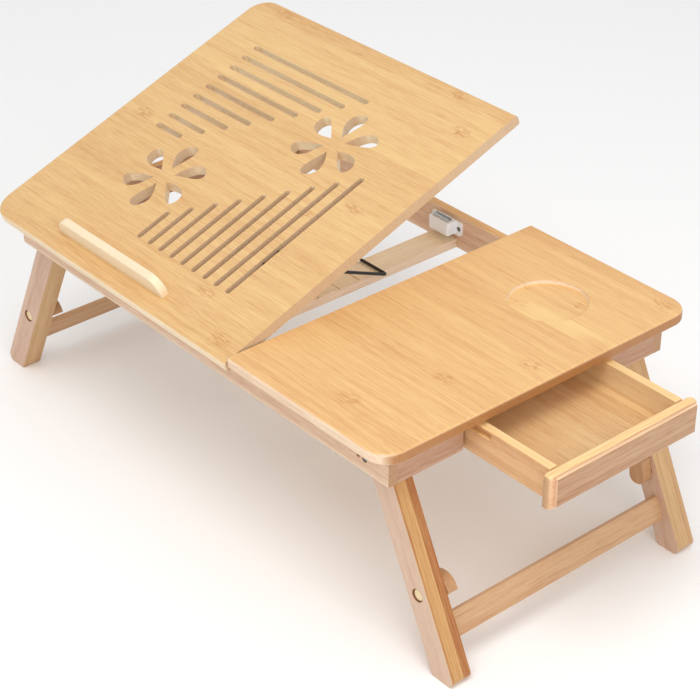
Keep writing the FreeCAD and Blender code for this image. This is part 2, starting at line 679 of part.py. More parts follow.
def vent_solids():
    """Two fans of slots on either side of a diagonal, and a flower near each end of that diagonal."""
    solids = []
    outer_x = VENT_X - SIZES["slot_edge"]
    outer_y = VENT_Y - SIZES["slot_edge"]
    for i in range(int(SIZES["slot_count"])):
        step_x = SIZES["slot_pitch_x"] * i
        step_y = SIZES["slot_pitch_y"] * i
        row_y = VENT_Y - SIZES["slot_start"] + step_y
        row_x = VENT_X - SIZES["slot_start"] + step_x
        solids.append(slot_solid(outer_x, row_y, SIZES["slot_short"] + step_x, True))
        solids.append(slot_solid(row_x, outer_y, SIZES["slot_short"] + step_y, False))
    petals = int(SIZES["petal_count"])
    for offset in (-SIZES["flower_offset"], SIZES["flower_offset"]):
        for i in range(petals):
            turn = SIZES["petal_swirl"] + 360 * i / petals
            solids.append(petal_solid(VENT_X + offset, VENT_Y + offset, turn))
    return solids


vents = doc.addObject("Part::Feature", "vents")
vents.Shape = Part.makeCompound(vent_solids())
vents.Placement = FreeCAD.Placement(
    FreeCAD.Vector(0, SIZES["panel_depth"] / 2 - SIZES["hinge_inset"], SIZES["leaf_gap"]), FreeCAD.Rotation())

barrel_grooves = [block("barrel_groove_" + side, wider(HINGE_SPAN[side], "barrel_gap"),
                        ("-barrel_radius - barrel_gap", "barrel_radius + barrel_gap"),
                        ("-cut_past", "barrel_radius + barrel_gap"))
                  for side in HINGE_SIDES]
leaf_pockets = [block("leaf_pocket_" + side, wider(HINGE_SPAN[side], "mortise_gap"),
                      ("barrel_radius", LEAF_BACK + " + mortise_gap"), ("-cut_past", "leaf_gap + leaf_thick"))
                for side in HINGE_SIDES]
PANEL_TOP = "(leaf_gap + panel_thick)"
STRIKE_Y = "(%s - %s)" % (POLE_MIDDLE, HINGE_Y)
strike_screw_solid = screw("strike_fixing", "strike", "Z", "0", STRIKE_Y, "leaf_gap - strike_thick")
LEDGE_FRONT = "(ledge_inset - panel_depth / 2 - %s - ledge_thick / 2)" % HINGE_Y
ledge_dowels_raw = [rod("ledge_dowel_%d" % i, "Z", "ledge_dowel_radius", "ledge_dowel_length",
                        "ledge_x + (%d) * ledge_dowel_offset" % place, LEDGE_FRONT + " + ledge_thick / 2",
                        PANEL_TOP + " - ledge_dowel_seat")
                    for i, place in enumerate((-1, 0, 1))]
SADDLE_X = ("bar_middle + prop_half_width - wire_radius - saddle_wire_gap - saddle_width",
            "bar_middle - prop_half_width + wire_radius + saddle_wire_gap")
SADDLE_SCREW_Y = (("front", "prop_reach - saddle_screw_offset"), ("back", "prop_reach + saddle_screw_offset"))
saddle_screws_raw = [screw("saddle_%d_%s" % (i, end), "saddle", "Z", x + " + saddle_width / 2", y,
                           "leaf_gap - saddle_foot_thick")
                     for i, x in enumerate(SADDLE_X) for end, y in SADDLE_SCREW_Y]
panel_screw_tools = group("panel_screw_tools", strike_screw_solid, *(moving_screws + saddle_screws_raw))
ledge_dowel_tools = group("ledge_dowel_tools", *ledge_dowels_raw)


def rounded_tilt_slab():
    """The hinged panel's slab about the hinge axis, closed."""
    slab = block("tilt_slab", ("-panel_length / 2", SEAM + " - panel_gap"),
                 ("-panel_depth / 2 - " + HINGE_Y, "panel_depth / 2 - " + HINGE_Y), ("leaf_gap", PANEL_TOP))
    turned = rounded("tilt_corners", slab, "corner_radius",
                     lambda e, b: along(e, "Z") and near(e.BoundBox.XMin, b.XMin))
    softened = rounded("tilt_top_edges", turned, "edge_round",
                       lambda e, b: near(e.BoundBox.ZMin, b.ZMax) and not inner(e, b, "left"))
    return rounded("tilt_under_edges", softened, "under_round",
                   lambda e, b: near(e.BoundBox.ZMax, b.ZMin) and not inner(e, b, "left"))


tilt_panel = tilted(cut("tilt_panel", rounded_tilt_slab(), vents, panel_screw_tools, ledge_dowel_tools,
                        *(barrel_grooves + leaf_pockets)))

ledge_bar = block("ledge_bar", ("ledge_x - ledge_length / 2", "ledge_x + ledge_length / 2"),
                  (LEDGE_FRONT, LEDGE_FRONT + " + ledge_thick"), (PANEL_TOP, PANEL_TOP + " + ledge_height"))
ledge_ends = rounded("ledge_ends", ledge_bar, "ledge_round",
                     lambda e, b: along(e, "Y") and near(e.BoundBox.ZMin, b.ZMax))
ledge_soft = rounded("ledge_soft", ledge_ends, "ledge_soft_round",
                     lambda e, b: (near(e.BoundBox.YMin, e.BoundBox.YMax)
                                   and e.BoundBox.ZMax > b.ZMin + SHORT_EDGE))
ledge = tilted(cut("ledge", ledge_soft, ledge_dowel_tools))
ledge_dowels = tilted(group("ledge_dowels", *ledge_dowels_raw))

strike_slab = block("strike_slab", ("-strike_length / 2", "strike_length / 2"),
                    (STRIKE_Y + " - strike_width / 2", STRIKE_Y + " + strike_width / 2"),
                    ("leaf_gap - strike_thick", "leaf_gap"))
strike_blank = rounded("strike_corners", strike_slab, "strike_round", lambda e, b: along(e, "Z"))
strike_plate = tilted(cut("strike_plate", strike_blank, strike_screw_solid))
strike_screw = tilted(group("strike_screw", strike_screw_solid))


def saddle(index, x):
    """A small block with a bore for the wire's end, on a screwed foot plate."""
    foot_plate = block("saddle_foot_%d" % index, (x, x + " + saddle_width"),
                       ("prop_reach - saddle_foot_length / 2", "prop_reach + saddle_foot_length / 2"),
                       ("leaf_gap - saddle_foot_thick", "leaf_gap"))
    hump = rounded("saddle_hump_%d" % index,
                   block("saddle_block_%d" % index, (x, x + " + saddle_width"),
                         ("prop_reach - saddle_depth / 2", "prop_reach + saddle_depth / 2"),
                         ("leaf_gap - saddle_height", "leaf_gap")),
                   "saddle_round", lambda e, b: along(e, "X") and near(e.BoundBox.ZMax, b.ZMin))
    bore = rod("saddle_bore_%d" % index, "X", "saddle_bore", "saddle_width + 2 * cut_past", x + " - cut_past",
               "prop_reach", "-prop_drop")
    body = join("saddle_body_%d" % index, foot_plate, hump)
    return cut("saddle_%d" % index, body, bore, *saddle_screws_raw)


prop_saddles = tilted(group("prop_saddles", *[saddle(i, x) for i, x in enumerate(SADDLE_X)]))
prop_saddle_screws = tilted(group("prop_saddle_screws", *saddle_screws_raw))

# ---------------------------------------------------------------- wire prop
def bent_wire():
    """A U of round wire: two arms from the pivot to a cross piece, with short ends turned inwards."""
    half = SIZES["prop_half_width"]
    bend = SIZES["wire_bend"]
    far = SIZES["prop_length"]
    near_bend = SIZES["wire_pivot_bend"]
    corners = [(half - SIZES["wire_stub"], 0, 0), (half, 0, near_bend), (half, far, bend), (-half, far, bend),
               (-half, 0, near_bend), (SIZES["wire_stub"] - half, 0, 0)]
    points = [FreeCAD.Vector(x, y, 0) for x, y, _ in corners]
    edges = []
    start = points[0]
    for i in range(1, len(points) - 1):
        corner, radius = points[i], corners[i][2]
        back = (points[i - 1] - corner).normalize()
        ahead = (points[i + 1] - corner).normalize()
        arc_from = corner + back * radius
        arc_to = corner + ahead * radius
        middle = corner + (back + ahead) * radius * (1 - math.sqrt(0.5))
        edges.append(Part.LineSegment(start, arc_from).toShape())
        edges.append(Part.Arc(arc_from, middle, arc_to).toShape())
        start = arc_to
    edges.append(Part.LineSegment(start, points[-1]).toShape())
    section = Part.Wire([Part.Circle(points[0], FreeCAD.Vector(1, 0, 0), SIZES["wire_radius"]).toShape()])
    return Part.Wire(edges).makePipeShell([section], True, False)


prop_wire = doc.addObject("Part::Feature", "prop_wire")
prop_wire.Shape = bent_wire()
stand(prop_wire, x="bar_middle", y=PROP_Y, z=PROP_Z, axis=X_AXIS,
      angle="-asin((%s - %s) / prop_length)" % (PROP_Z, FOOT_Z))


# ---------------------------------------------------------------- folding legs
# A leg is drawn hanging straight down from its pivot, with its outer face at y = 0.
def leg_place(side, end):
    x = PIVOT_X if side == "right" else "-" + PIVOT_X
    y = LEG_FRONT if end == "front" else LEG_BACK
    angle = "-splay" if side == "right" else "splay"
    return dict(x=x, y=y, z=PIVOT_Z, axis=Y_AXIS, angle=angle)


def depth_span(end, near_side, far_side):
    """Limits along Y of something between two depths behind the leg's outer face."""
    if end == "front":
        return (near_side, far_side)
    return ("-(%s)" % far_side, "-(%s)" % near_side)


def depth_rod(name, end, radius, near_side, far_side, z):
    span = depth_span(end, near_side, far_side)
    return rod(name, "Y", radius, "(%s) - (%s)" % (span[1], span[0]), "0", span[0], z)


STRETCHER_X = ("-stretcher_thick / 2", "stretcher_thick / 2")
STRETCHER_Z = ("-stretcher_drop - stretcher_height / 2", "-stretcher_drop + stretcher_height / 2")
STRETCHER_FRONT = "(%s + leg_depth - stretcher_tenon)" % LEG_FRONT
STRETCHER_BACK = "(%s - leg_depth + stretcher_tenon)" % LEG_BACK


def ground(name, side):
    """The ground, as a wide box whose middle lies below the pivot, carried into the leg's own axes."""
    box = doc.addObject("Part::Box", name)
    bind(box, Length="ground_length", Width="ground_depth", Height="ground_depth")
    box.Placement = FreeCAD.Placement(FreeCAD.Vector(), FreeCAD.Rotation(Y_AXIS, 0))
    turn = "splay" if side == "right" else "-splay"
    cosine, sine = "cos(%s * 1 deg)" % turn, "sin(%s * 1 deg)" % turn
    reach = "(%s + ground_depth)" % PIVOT_Z
    bind(box, Placement_at_Rotation_at_Angle=turn, Placement_at_Base_at_y="-ground_depth / 2",
         Placement_at_Base_at_x="-ground_length / 2 * %s - %s * %s" % (cosine, reach, sine),
         Placement_at_Base_at_z="ground_length / 2 * %s - %s * %s" % (sine, reach, cosine))
    return box


def leg(side, end):
    name = "leg_%s_%s" % (end, side)
    outer_side, inner_side = ("XMax", "XMin") if side == "right" else ("XMin", "XMax")
    bar = block(name + "_bar", ("-leg_width / 2", "leg_width / 2"), depth_span(end, "0", "leg_depth"),
                ("-(%s) / cos(splay * 1 deg) - leg_width" % PIVOT_Z, "0"))
    head = depth_rod(name + "_head", end, "leg_width / 2", "0", "leg_depth", "0")
    trimmed = cut(name + "_trimmed", join(name + "_blank", bar, head), ground(name + "_ground", side))

    def bottom_edge(edge, box, limit):
        at_side = near(edge.BoundBox.XMin, getattr(box, limit))
        return along(edge, "Y") and at_side and edge.BoundBox.ZMax < box.Center.z

    toed = rounded(name + "_toe", trimmed, "foot_round_outer", lambda e, b: bottom_edge(e, b, outer_side))
    footed = rounded(name + "_heel", toed, "foot_round_inner", lambda e, b: bottom_edge(e, b, inner_side))
    clear = "leg_depth + cut_past"
    mouth = (end, "dowel_mouth", "-cut_past", "dowel_mouth_depth", "-button_drop")
    mortise_y = depth_span(end, "leg_depth - stretcher_tenon", clear)
    tools = [depth_rod(name + "_pivot_bore", end, "pin_radius + pin_clearance", "-cut_past", clear, "0"),
             depth_rod(name + "_dowel_bore", end, "dowel_radius + pin_clearance", "-cut_past", clear,
                       "-button_drop"),
             depth_rod(name + "_dowel_mouth", *mouth),
             block(name + "_mortise", STRETCHER_X, mortise_y, STRETCHER_Z)]
    return stand(cut(name, footed, *tools), **leg_place(side, end))


def stretcher(side):
    """The board between the two legs of a pair."""
    blank = block("stretcher_%s_blank" % side, STRETCHER_X, (STRETCHER_FRONT, STRETCHER_BACK), STRETCHER_Z)
    place = leg_place(side, "front")
    place["y"] = "0"
    return stand(group("stretcher_" + side, blank), **place)


for side in ("right", "left"):
    for end in ("front", "back"):
        leg(side, end)
    stretcher(side)


# ---------------------------------------------------------------- turn buttons
# A button is drawn pointing away from the middle line of its dowel along X, with its round
# shoulder on top. Its dowel ends in a blind hole; all four are the same piece, turned differently.
def turn_button(side, end):
    name = "turn_button_%s_%s" % (end, side)
    inner_face = "(leg_depth + button_gap)"
    span = depth_span(end, inner_face, inner_face + " + button_thick")

    def corner(edge, box, at_x, at_z):
        middle = edge.CenterOfMass
        return along(edge, "Y") and near(middle.x, getattr(box, at_x)) and near(middle.z, getattr(box, at_z))

    slab = block(name + "_slab", ("-button_tail", "button_reach"), span, ("-button_narrow", "button_wide"))
    shoulder = rounded(name + "_shoulder", slab, "button_shoulder", lambda e, b: corner(e, b, "XMax", "ZMax"))
    nose = rounded(name + "_nose", shoulder, "button_nose", lambda e, b: corner(e, b, "XMax", "ZMin"))
    heeled = rounded(name + "_heel", nose, "button_heel",
                     lambda e, b: corner(e, b, "XMin", "ZMax") or corner(e, b, "XMin", "ZMin"))
    dowel_hole = depth_rod(name + "_hole", end, "dowel_radius", inner_face + " - cut_past",
                           inner_face + " + button_seat", "0")
    place = button_place(side, end)
    stand(cut(name, heeled, dowel_hole), **place)
    dowel = depth_rod("dowel_rod_%s_%s" % (end, side), end, "dowel_radius", "dowel_recess",
                      inner_face + " + button_seat", "0")
    stand(group("button_dowel_%s_%s" % (end, side), dowel), **place)


def button_place(side, end):
    """The dowel's point on a leg's centre line, and how far the button is turned there."""
    place = leg_place(side, end)
    sign = "" if side == "right" else "-"
    place["x"] = "%s(%s + button_drop * sin(splay * 1 deg))" % (sign, PIVOT_X)
    place["z"] = "%s - button_drop * cos(splay * 1 deg)" % PIVOT_Z
    place["angle"] = "-button_turn_" + end
    return place


for side in ("right", "left"):
    for end in ("front", "back"):
        turn_button(side, end)

# ---------------------------------------------------------------- write the nodes
doc.recompute()
faulty = [thing.Name for thing in doc.Objects if "Invalid" in thing.State or "Error" in thing.State]
if faulty:
    raise RuntimeError("objects that failed: %s" % faulty)
os.makedirs("parts", exist_ok=True)
for node in NODES:
    shape = node.Shape
    if shape.isNull() or not shape.isValid() or not shape.Solids:
        raise RuntimeError("bad shape: %s" % node.Label)
for node in NODES:
    shape = node.Shape
    shape.exportStep(os.path.join("parts", node.Label + ".step"))
    print("%-28s solids %d volume %10.1f" % (node.Label, len(shape.Solids), shape.Volume))
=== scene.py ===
# %% [markdown]
# # A folding bamboo laptop stand
# The stand is a low tray on splayed legs: a hinged desk panel with cut slots and flowers, a fixed side
# panel with a cup recess, and a small drawer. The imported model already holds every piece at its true
# size and place, so this lesson never builds the stand again. It gives the pieces the finish that the
# real ones have, breaks their knife-sharp edges, and lights and frames the whole.

import json
import math

import bpy
import numpy as np
from mathutils import Matrix, Vector


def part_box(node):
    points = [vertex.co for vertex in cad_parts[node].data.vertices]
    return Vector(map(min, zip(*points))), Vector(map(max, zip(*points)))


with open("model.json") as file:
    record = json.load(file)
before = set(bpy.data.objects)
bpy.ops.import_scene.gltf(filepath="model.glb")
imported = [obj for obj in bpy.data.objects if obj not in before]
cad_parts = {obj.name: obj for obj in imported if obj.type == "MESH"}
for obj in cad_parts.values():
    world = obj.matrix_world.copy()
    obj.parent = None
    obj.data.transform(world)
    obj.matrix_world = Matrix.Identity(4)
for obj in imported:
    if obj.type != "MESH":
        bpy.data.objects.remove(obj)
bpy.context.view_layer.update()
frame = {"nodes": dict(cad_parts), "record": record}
nodes = frame["nodes"]

# %% [markdown]
# ## The camera
# A long lens far away keeps the tray's edges almost parallel, as catalogue pictures do. It could be
# placed by hand with a Track To constraint, but a direction and a distance say the same thing in three
# numbers. The camera looks at a spot near the middle of the top, from its right front corner and above.

# %% Place the camera
AIM_SPOT = Vector((0.113137, -0.084206, 0.20887))
CAMERA_AZIMUTH = math.radians(49.55)
CAMERA_ELEVATION = math.radians(31.86)
CAMERA_DISTANCE = 1.65053
FOCAL_LENGTH_MM = 103.58

towards_camera = Vector((math.sin(CAMERA_AZIMUTH) * math.cos(CAMERA_ELEVATION),
                         -math.cos(CAMERA_AZIMUTH) * math.cos(CAMERA_ELEVATION),
                         math.sin(CAMERA_ELEVATION)))
lens = bpy.data.cameras.new("long_lens")
lens.lens = FOCAL_LENGTH_MM
camera = bpy.data.objects.new("camera", lens)
camera.location = AIM_SPOT + towards_camera * CAMERA_DISTANCE
camera.rotation_euler = (-towards_camera).to_track_quat("-Z", "Y").to_euler()
bpy.context.scene.collection.objects.link(camera)
bpy.context.scene.camera = camera
print("camera stands", round(camera.location.z, 3), "m above the floor")


# %% [markdown]
# ## Small tools for finishes
# Every finish below is a web of shader nodes. Colours are written as the hex values that a paint chart
# or a picture editor shows, so one function turns them to the linear numbers that the renderer wants.
# Another adds one node with its settings and links, which keeps a finish readable from top to bottom.

# %% Colours and nodes
MM = 0.001


def linear(hex_colour):
    """Turn an sRGB hex value such as F0C080 to linear red, green, blue and a full alpha."""
    channels = [int(hex_colour[i:i + 2], 16) / 255 for i in (0, 2, 4)]
    return [c / 12.92 if c <= 0.04045 else ((c + 0.055) / 1.055) ** 2.4 for c in channels] + [1.0]


def add(tree, kind, inputs=None, **settings):
    """Add a node. Settings are its options; inputs gives each socket a value or another node's output."""
    node = tree.nodes.new("ShaderNode" + kind)
    for name, value in settings.items():
        setattr(node, name, value)
    for socket, value in (inputs or {}).items():
        if isinstance(value, bpy.types.NodeSocket):
            tree.links.new(value, node.inputs[socket])
        else:
            node.inputs[socket].default_value = value
    return node


def new_finish(name):
    """Start a material with an empty web; returns the material and its node tree."""
    finish = bpy.data.materials.new(name)
    finish.use_nodes = True
    finish.node_tree.nodes.clear()
    return finish, finish.node_tree


def coat_pieces(finish, *names):
    """Give a finish to every slot of the named pieces."""
    for name in names:
        for slot in nodes[name].material_slots:
            slot.material = finish


print("mid grey 808080 reflects", round(linear("808080")[0], 3), "of the light")


# %% [markdown]
# ## Bamboo
# The boards are laminated bamboo under a clear satin lacquer: strips some millimetres wide, split from
# the stalk, planed and glued side by side. Each strip keeps its own tone, long fibres run its whole
# length as fine darker and lighter lines, and every 20 to 30 cm a knuckle of the stalk crosses it as a
# patch of short brown flecks. An image texture would need unwrapping; noise stretched along the grain
# follows every board in its own direction and shows true end grain where a board is sawn off.
#
# Every bamboo finish first works out one number, the tone: 0 is the darkest wood, 0.5 the board's body
# colour and 1 the palest. A colour ramp then turns the tone to a colour.

# %% The direction and the colours of a board
# How much of each channel a dark strip loses and a pale strip gains, for a spread of 1.
DARK_LOSS = (0.5, 0.85, 1.1)
PALE_GAIN = (0.25, 0.55, 0.6)
BODY_TONE = 0.5


def lie(along, face):
    """Euler turn that carries X to the grain's direction and Z to the normal of the board's wide face."""
    x_axis = Vector(along).normalized()
    z_axis = Vector(face).normalized()
    y_axis = z_axis.cross(x_axis)
    return Matrix((x_axis, y_axis, z_axis)).transposed().to_euler()


def shades(body, spread):
    """Dark, body and pale colours of one bamboo; spread says how far the dark and pale strips stand off.

    A darker strip loses more blue than red, so it is also warmer, and a paler one is also whiter.
    """
    *channels, alpha = linear(body)
    dark = [channel * (1 - loss * spread) for channel, loss in zip(channels, DARK_LOSS)]
    pale = [channel * (1 + gain * spread) for channel, gain in zip(channels, PALE_GAIN)]
    return dark + [alpha], channels + [alpha], pale + [alpha]


def wood_colour(tree, tone, body, spread):
    """The colour of a tone, from dark at 0 over the body colour to pale at 1."""
    ramp = add(tree, "ValToRGB", {0: tone})
    dark, middle, pale = shades(body, spread)
    ramp.color_ramp.elements[0].color = dark
    ramp.color_ramp.elements[1].color = pale
    ramp.color_ramp.elements.new(BODY_TONE).color = middle
    return ramp.outputs[0]


print("a board along Y is turned by", [round(math.degrees(turn)) for turn in lie((0, 1, 0), (0, 0, 1))])


# %% [markdown]
# ### Strips and layers
# On a wide board the strips lie side by side, each with a tone by chance, and thin dark glue lines part
# them. Rounding a point's place down to whole strips gives each strip a number, and white noise turns
# that number to its tone, so no strip has to be drawn. A thick leg instead shows a few known layers.

# %% Strips and layers
HALF_STRIP = 0.5
# A real glue line is about 0.1 mm wide, too thin to show, so it fades out over 0.45 mm on each side.
GLUE_LINE_MM = 0.45


def strip_tones(tree, place, strips_mm, contrast):
    """The tone of a point's strip, and a mask of the glue lines between strips across the face.

    strips_mm is a strip's width and thickness, and contrast is how far the strips' tones lie apart.
    """
    scale = (0.0, 1 / (strips_mm[0] * MM), 1 / (strips_mm[1] * MM))
    strips = add(tree, "Mapping", {"Vector": place, "Scale": scale,
                                   "Location": (0.0, HALF_STRIP, HALF_STRIP)})
    number = add(tree, "VectorMath", {0: strips.outputs[0]}, operation="FLOOR")
    chance = add(tree, "TexWhiteNoise", {"Vector": number.outputs[0]}, noise_dimensions="3D")
    tone = add(tree, "Math", {0: chance.outputs["Value"], 1: contrast, 2: BODY_TONE - contrast / 2},
               operation="MULTIPLY_ADD")
    across = add(tree, "SeparateXYZ", {0: strips.outputs[0]})
    to_line = add(tree, "Math", {0: across.outputs["Y"], 1: HALF_STRIP}, operation="PINGPONG")
    glue = add(tree, "MapRange", {"Value": to_line.outputs[0], "From Min": GLUE_LINE_MM / strips_mm[0],
                                  "From Max": 0.0})
    return tone.outputs[0], glue.outputs[0]


def layer_tones(tree, place, layers, depth_mm):
    """Tones of a board glued from known layers, listed as (mm across from its middle, tone)."""
    across = add(tree, "SeparateXYZ", {0: place})
    share = add(tree, "MapRange", {"Value": across.outputs["Y"], "From Min": -depth_mm * MM / 2,
                                   "From Max": depth_mm * MM / 2})
    ramp = add(tree, "ValToRGB", {0: share.outputs[0]})
    stops = ramp.color_ramp.elements
    for number, (distance, tone) in enumerate(layers):
        position = distance / depth_mm + 0.5
        stop = stops[number] if number < 2 else stops.new(position)
        stop.position = position
        stop.color = (tone, tone, tone, 1.0)
    return ramp.outputs[0]


print("glue lines fade out over", GLUE_LINE_MM, "mm on each side")


# %% [markdown]
# ### Fibres, bands and pores
# Long fibres, broad drifting bands and short pores run along every strip. They are all one noise,
# stretched to a real length along the grain and a real width across it. A Wave texture also draws
# lines, but evenly spaced ones, which looks like corduroy and not like a plant.

# %% Marks along the grain
# Each is a length and a width. Real fibres are about 0.3 mm wide, too fine to show at this distance, so
# they are drawn 0.9 mm wide, and pores and flecks are as much coarser.
BAND_MM = (230.0, 6.5)
FIBRE_MM = (34.0, 0.9)
PORE_MM = (14.0, 0.8)
FLECK_MM = (8.0, 1.3)
FIBRE_ROUGHNESS = 0.75
FLECK_DISTORTION = 0.3


def streaks(tree, place, size_mm, detail, **more):
    """Noise of a given length along the grain and width across it; returns its value."""
    length, width = (1 / (size * MM) for size in size_mm)
    stretched = add(tree, "Mapping", {"Vector": place, "Scale": (length, width, width)})
    noise = add(tree, "TexNoise", {"Vector": stretched.outputs[0], "Scale": 1.0, "Detail": detail, **more})
    return noise.outputs[0]


def add_marks(tree, tone, marks):
    """Add marks to a tone; marks lists (mark, weight), and a dark mark has a negative weight."""
    for mark, weight in marks:
        tone = add(tree, "Math", {0: mark, 1: weight, 2: tone}, operation="MULTIPLY_ADD").outputs[0]
    return tone


print("fibres are drawn", FIBRE_MM[1], "mm wide and bands", BAND_MM[1], "mm wide")


# %% [markdown]
# ### Knuckles and pale strips
# A knuckle is a ring on the stalk, and in a planed strip it is left as an oval full of short brown
# flecks. Here and there a strip from the pale inner side of the stalk stands out. Both are masks: a
# place measured in halves of the spot's own length and width is inside it while it stays under 1.

# %% Knuckles and pale strips
# The share of a knuckle's oval that is full of flecks.
KNUCKLE_CORE = 0.3
# Shares of a pale strip's half length and half width that are fully pale.
PALE_LENGTH_CORE = 0.4
PALE_WIDTH_CORE = 0.94


def in_spot(tree, place, x, y, length, width):
    """A point's place from a spot's middle, in halves of its length and width, all four in millimetres."""
    spot = add(tree, "Mapping", {"Vector": place, "Location": (x * MM, y * MM, 0.0),
                                 "Scale": (length * MM / 2, width * MM / 2, 1.0)}, vector_type="TEXTURE")
    return spot.outputs[0]


def knuckle_mask(tree, place, spot):
    """1 at the middle of an oval on the wide face, falling to 0 at its rim."""
    reach = add(tree, "VectorMath", {0: in_spot(tree, place, *spot)}, operation="LENGTH")
    return add(tree, "MapRange", {"Value": reach.outputs["Value"], "From Min": 1.0,
                                  "From Max": KNUCKLE_CORE}).outputs[0]


def pale_mask(tree, place, spot):
    """1 in one pale strip, cut off sharply at its glue lines and fading out towards both ends."""
    size = add(tree, "VectorMath", {0: in_spot(tree, place, *spot)}, operation="ABSOLUTE")
    reach = add(tree, "SeparateXYZ", {0: size.outputs[0]})
    faded = add(tree, "MapRange", {"Value": reach.outputs["X"], "From Min": 1.0,
                                   "From Max": PALE_LENGTH_CORE})
    inside = add(tree, "MapRange", {"Value": reach.outputs["Y"], "From Min": 1.0,
                                    "From Max": PALE_WIDTH_CORE})
    return add(tree, "Math", {0: faded.outputs[0], 1: inside.outputs[0]}, operation="MULTIPLY").outputs[0]


print("flecks in a knuckle are", FLECK_MM[0], "mm long")


# %% [markdown]
# ### The tone of a board
# On the long faces the strip's own tone, the noises and the masks add up, each with a weight. Mixing a
# colour for every mark would also do, but then each board needs all those colours again, and a tone
# needs only one ramp. On a sawn end the cut fibres show as fine dots instead of lines.

# %% The tone of the long faces
BAND_WEIGHT = 0.6
FIBRE_WEIGHT = 1.8
PORE_WEIGHT = -0.16
GLUE_WEIGHT = -0.14
FLECK_WEIGHT = -0.9
KNUCKLE_WEIGHT = 0.1
PALE_WEIGHT = 0.5
# The noise values between which a pore and a fleck fade in.
PORE_FADE = (0.60, 0.72)
FLECK_FADE = (0.44, 0.6)


def long_tone(tree, place, strip, glue, fibre, knuckles, pale_strips):
    """The tone of the faces along the grain: the strip's tone plus every mark times its weight."""
    band = streaks(tree, place, BAND_MM, 2.0)
    pore = streaks(tree, place, PORE_MM, 1.0)
    fleck = streaks(tree, place, FLECK_MM, 4.0, Distortion=FLECK_DISTORTION)
    marks = []
    for pattern, weight in ((band, BAND_WEIGHT), (fibre, FIBRE_WEIGHT)):
        centred = add(tree, "Math", {0: pattern, 1: 0.5}, operation="SUBTRACT")
        marks.append((centred.outputs[0], weight))
    in_pore = add(tree, "MapRange", {"Value": pore, "From Min": PORE_FADE[0], "From Max": PORE_FADE[1]})
    in_fleck = add(tree, "MapRange", {"Value": fleck, "From Min": FLECK_FADE[0], "From Max": FLECK_FADE[1]})
    marks += [(in_pore.outputs[0], PORE_WEIGHT), (glue, GLUE_WEIGHT)]
    for spot in knuckles:
        inside = knuckle_mask(tree, place, spot)
        flecked = add(tree, "Math", {0: inside, 1: in_fleck.outputs[0]}, operation="MULTIPLY")
        marks += [(flecked.outputs[0], FLECK_WEIGHT), (inside, KNUCKLE_WEIGHT)]
    marks += [(pale_mask(tree, place, spot), PALE_WEIGHT) for spot in pale_strips]
    return add_marks(tree, strip, marks)


print("a fibre moves the tone by up to", FIBRE_WEIGHT / 2, "either way")

# %% The tone of the sawn ends
# Fibres are cut across here, and their real dots of about 0.3 mm are drawn 1.8 mm apart to show at all.
END_DOT_MM = 1.8
END_STRIP_WEIGHT = 0.5
END_DOT_WEIGHT = 0.5
END_GLUE_WEIGHT = -0.2


def end_tone(tree, place, strip, glue):
    """The tone of the sawn ends, where the cut fibres show as fine dots."""
    dots = add(tree, "TexNoise", {"Vector": place, "Scale": 1 / (END_DOT_MM * MM), "Detail": 2.0})
    return add_marks(tree, 0.0, [(strip, END_STRIP_WEIGHT), (dots.outputs[0], END_DOT_WEIGHT),
                                 (glue, END_GLUE_WEIGHT)])


print("dots on the end grain are", END_DOT_MM, "mm apart")


# %% [markdown]
# ### Faces, edges and ends
# The wide face, the narrow edge and the sawn end of a board have colours of their own, and the
# direction of the surface tells them apart. Separate materials for them would need faces picked by hand
# on every board, and would leave a hard line along each rounded edge.

# %% Faces, edges and ends
# Cosines of the turn from an axis at which a surface starts to count as square to it, and fully does.
SQUARE_TO_FACE = (0.5, 0.85)
SQUARE_TO_END = (0.6, 0.9)


def squareness(tree, coordinates, axis, limits):
    """1 where the surface is square to an axis of the object, 0 where it is turned away from it."""
    low, high = limits
    facing = add(tree, "VectorMath", {0: coordinates.outputs["Normal"], 1: Vector(axis).normalized()},
                 operation="DOT_PRODUCT")
    square = add(tree, "Math", {0: facing.outputs["Value"]}, operation="ABSOLUTE")
    return add(tree, "MapRange", {"Value": square.outputs[0], "From Min": low, "From Max": high}).outputs[0]


print("a surface is part end grain from", round(math.degrees(math.acos(SQUARE_TO_END[0]))), "degrees off")


# %% [markdown]
# ### Shade in drilled holes, and a pale cove
# A drilled hole's mouth is darkened as painted shade, along with the brown that a drill rubs into
# its wall. The cove of a turned dish keeps the pale colour of a sanded edge all the way round, partly
# as a painted highlight. Both are round, so the distance from the middle finds them without new geometry.

# %% Dishes and drilled holes
# A hole's mouth is darkened towards this colour, this deep and this far: painted shade with a drill's
# brown.
DRILLED_SHADE_AND_BROWN = "7A4A26"
SHADED_BROWN_MM = 0.4
SHADED_BROWN_SHARE = 0.85
COVE_FADE_MM = 2.0


def outside_dish(tree, coordinates, mask, centre, radius_mm):
    """Keep a mask outside a turned dish of the given radius, and clear it inside."""
    away = add(tree, "VectorMath", {0: coordinates.outputs["Object"], 1: centre}, operation="DISTANCE")
    outside = add(tree, "MapRange", {"Value": away.outputs["Value"], "From Min": radius_mm * MM,
                                     "From Max": (radius_mm + COVE_FADE_MM) * MM})
    return add(tree, "Math", {0: mask, 1: outside.outputs[0]}, operation="MULTIPLY").outputs[0]


